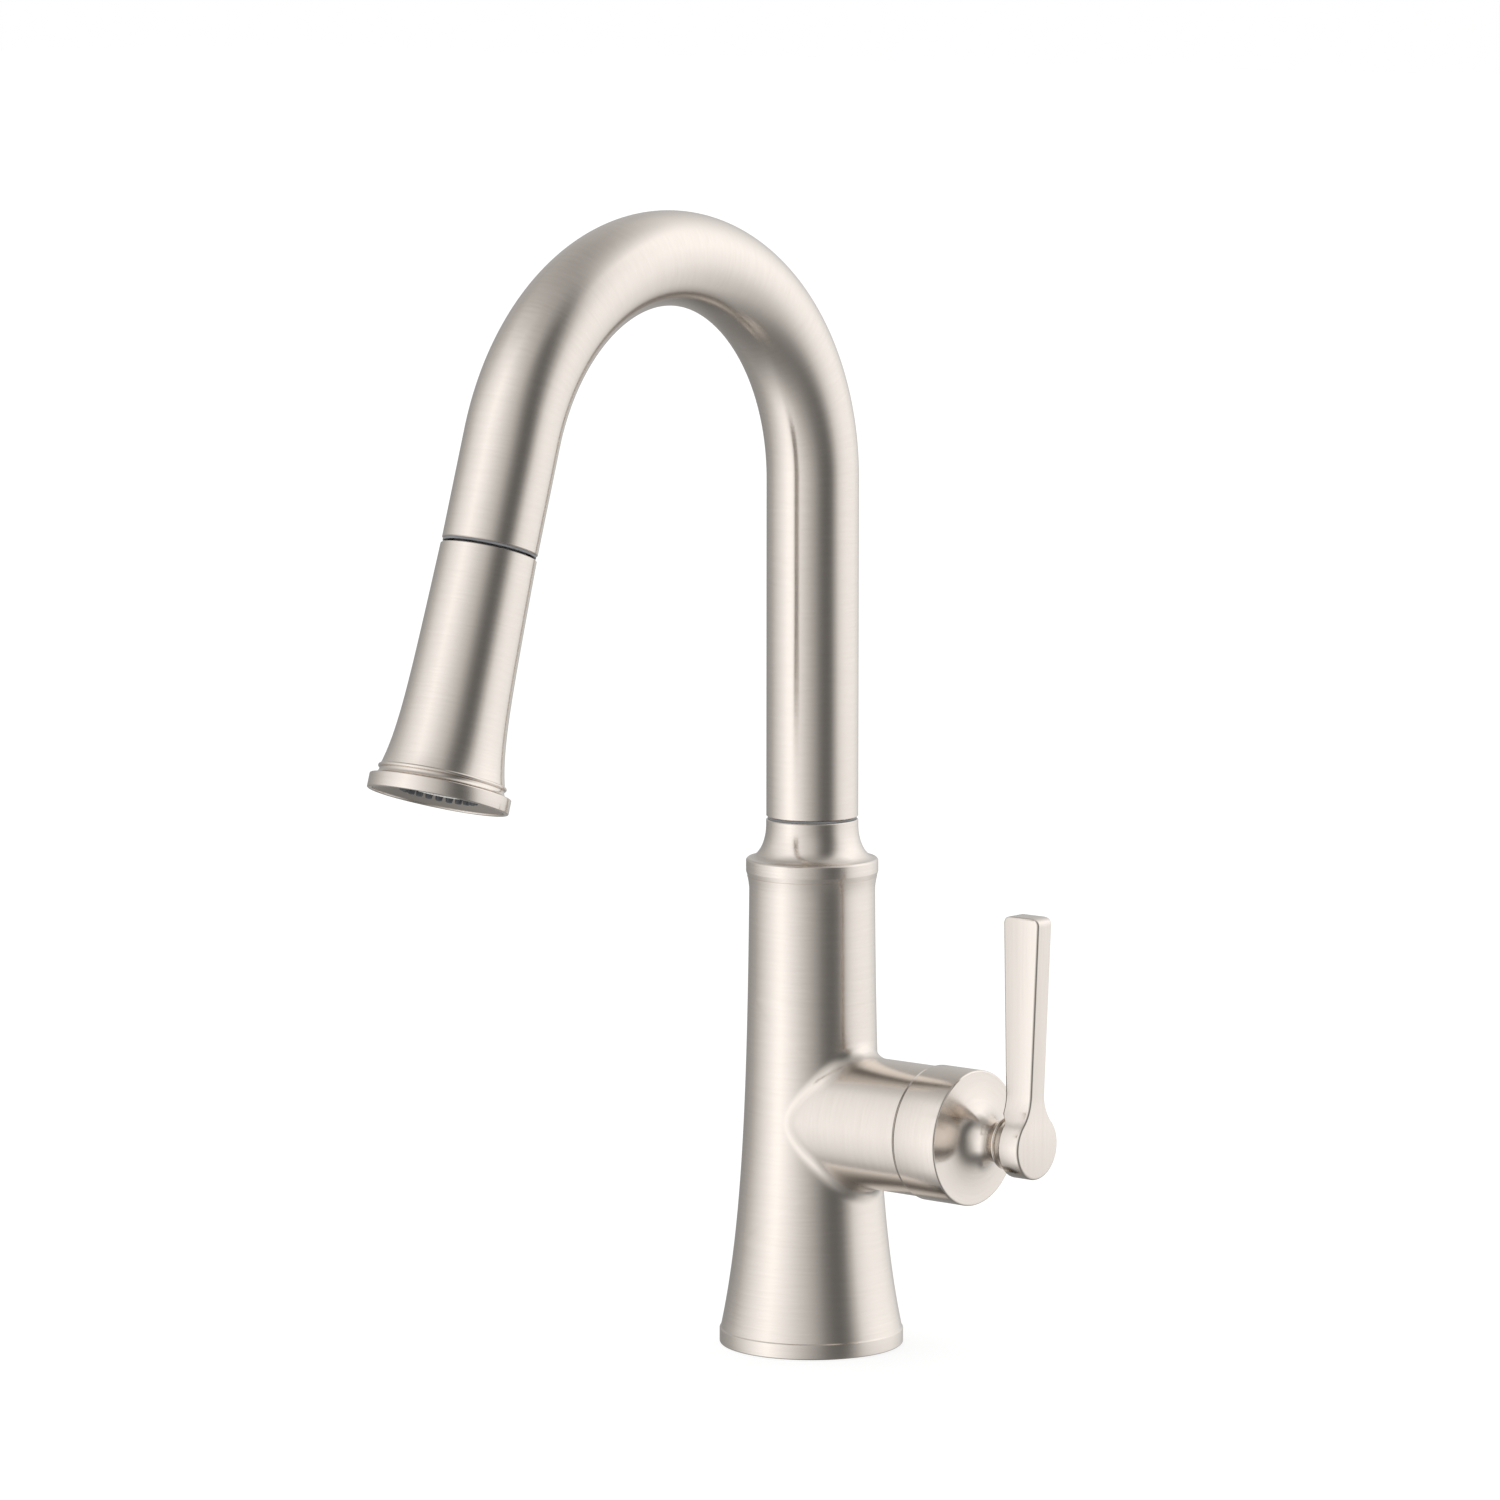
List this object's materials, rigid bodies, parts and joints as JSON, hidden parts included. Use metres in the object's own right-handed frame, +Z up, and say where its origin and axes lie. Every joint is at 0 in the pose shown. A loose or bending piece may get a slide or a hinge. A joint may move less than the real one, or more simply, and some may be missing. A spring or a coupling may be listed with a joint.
{
  "type": "pull down kitchen faucet",
  "caption": "Gooseneck kitchen faucet with a flared round body, a pull down spray head with a rocker on its back, and a tall side lever on a round cap.",
  "frame": {"origin": "centre of the base's underside, on the deck, on the axis of the mounting shank", "axes": "+Z up along the body and the shank, the spout reaches towards -Y, the handle's barrel points along +X"},
  "size_m": [0.1259, 0.2321, 0.4504],
  "materials": {
    "nickel": "satin brushed nickel over brass",
    "brass": "machined",
    "copper": "drawn copper tube",
    "steel": "stainless, plain",
    "pom_white": "moulded acetal",
    "pom_grey": "moulded acetal",
    "rubber_black": "moulded rubber",
    "rubber_grey": "moulded silicone",
    "ceramic": "lapped ceramic",
    "braid": "braided nylon over a plastic hose"
  },
  "bodies": {
    "body": {"base_ring": "nickel", "base_gasket": "rubber_black", "body_shell": "nickel", "swivel_collar": "nickel", "spout_bush_lower": "pom_white", "spout_bush_upper": "pom_white", "cartridge_seal": "rubber_black", "cartridge_housing": "pom_white", "fixed_disc": "ceramic", "retaining_nut": "brass", "bonnet_dome": "pom_grey", "mounting_shank": "brass", "rubber_washer": "rubber_black", "steel_washer": "steel", "mounting_nut": "brass", "nut_screws": "steel", "hot_inlet_tube": "copper", "cold_inlet_tube": "copper", "outlet_tube": "copper", "inlet_couplings": "brass"},
    "spout": {"spout_tube": "nickel", "spout_sleeve": "brass", "swivel_oring": "rubber_black", "glide_washer": "pom_grey", "dock_bush": "pom_grey", "spray_hose": "braid", "hose_coupling": "brass"},
    "hose_end": {"hose_ball_end": "brass"},
    "spray_head": {"swivel_gland": "pom_grey", "head_shell": "nickel", "head_core": "pom_white", "swivel_seal": "rubber_black", "check_valve": "pom_grey", "rocker_pin": "steel", "spray_face": "nickel", "nozzle_mat": "rubber_grey", "aerator_body": "pom_white", "aerator_mesh": "steel"},
    "rocker": {"mode_rocker": "pom_grey"},
    "diverter": {"diverter_spool": "brass", "spool_orings": "rubber_black"},
    "rotor": {"cartridge_rotor": "pom_grey", "lever_pin": "steel"},
    "disc": {"moving_disc": "ceramic", "disc_driver": "pom_grey"},
    "handle": {"cartridge_stem": "brass", "handle_cap": "nickel", "lever_collar": "nickel", "handle_lever": "nickel", "handle_set_screw": "steel"}
  },
  "joints": [
    {"name": "spout_swivel", "type": "hinge", "parent": "body", "child": "spout", "pos_m": [0, 0, 0.1746], "axis": [0, 0, 1], "continuous": true},
    {"name": "spray_pull", "type": "slide", "parent": "spout", "child": "hose_end", "axis": [0, -0.304, -0.9527], "range_m": [0, 0.19], "stiffness_N_per_m": 4, "springref_m": -1, "deforming": ["spray_hose"]},
    {"name": "head_swivel", "type": "hinge", "parent": "hose_end", "child": "spray_head", "pos_m": [0, -0.15697, 0.27314], "axis": [0, -0.304, -0.9527], "continuous": true},
    {"name": "rocker_press", "type": "hinge", "parent": "spray_head", "child": "rocker", "pos_m": [0, -0.15953, 0.23092], "axis": [1, 0, 0], "range_deg": [0, 10]},
    {"name": "diverter_slide", "type": "slide", "parent": "spray_head", "child": "diverter", "axis": [0, -0.304, -0.9527], "range_m": [0, 0.000698]},
    {"name": "temperature_turn", "type": "hinge", "parent": "body", "child": "rotor", "pos_m": [0.036, 0, 0.0759], "axis": [1, 0, 0], "range_deg": [-50, 50]},
    {"name": "flow_lift", "type": "hinge", "parent": "rotor", "child": "handle", "pos_m": [0.036, 0, 0.0759], "axis": [0, 1, 0], "range_deg": [0, 20]},
    {"name": "disc_slide", "type": "slide", "parent": "rotor", "child": "disc", "axis": [0, 0, 1], "range_m": [0, 0.0033]}
  ],
  "couplings": [
    {"joint": "rocker_press", "follows": "diverter_slide", "rad_per_m": 250},
    {"joint": "disc_slide", "follows": "flow_lift", "m_per_rad": 0.0094}
  ]
}
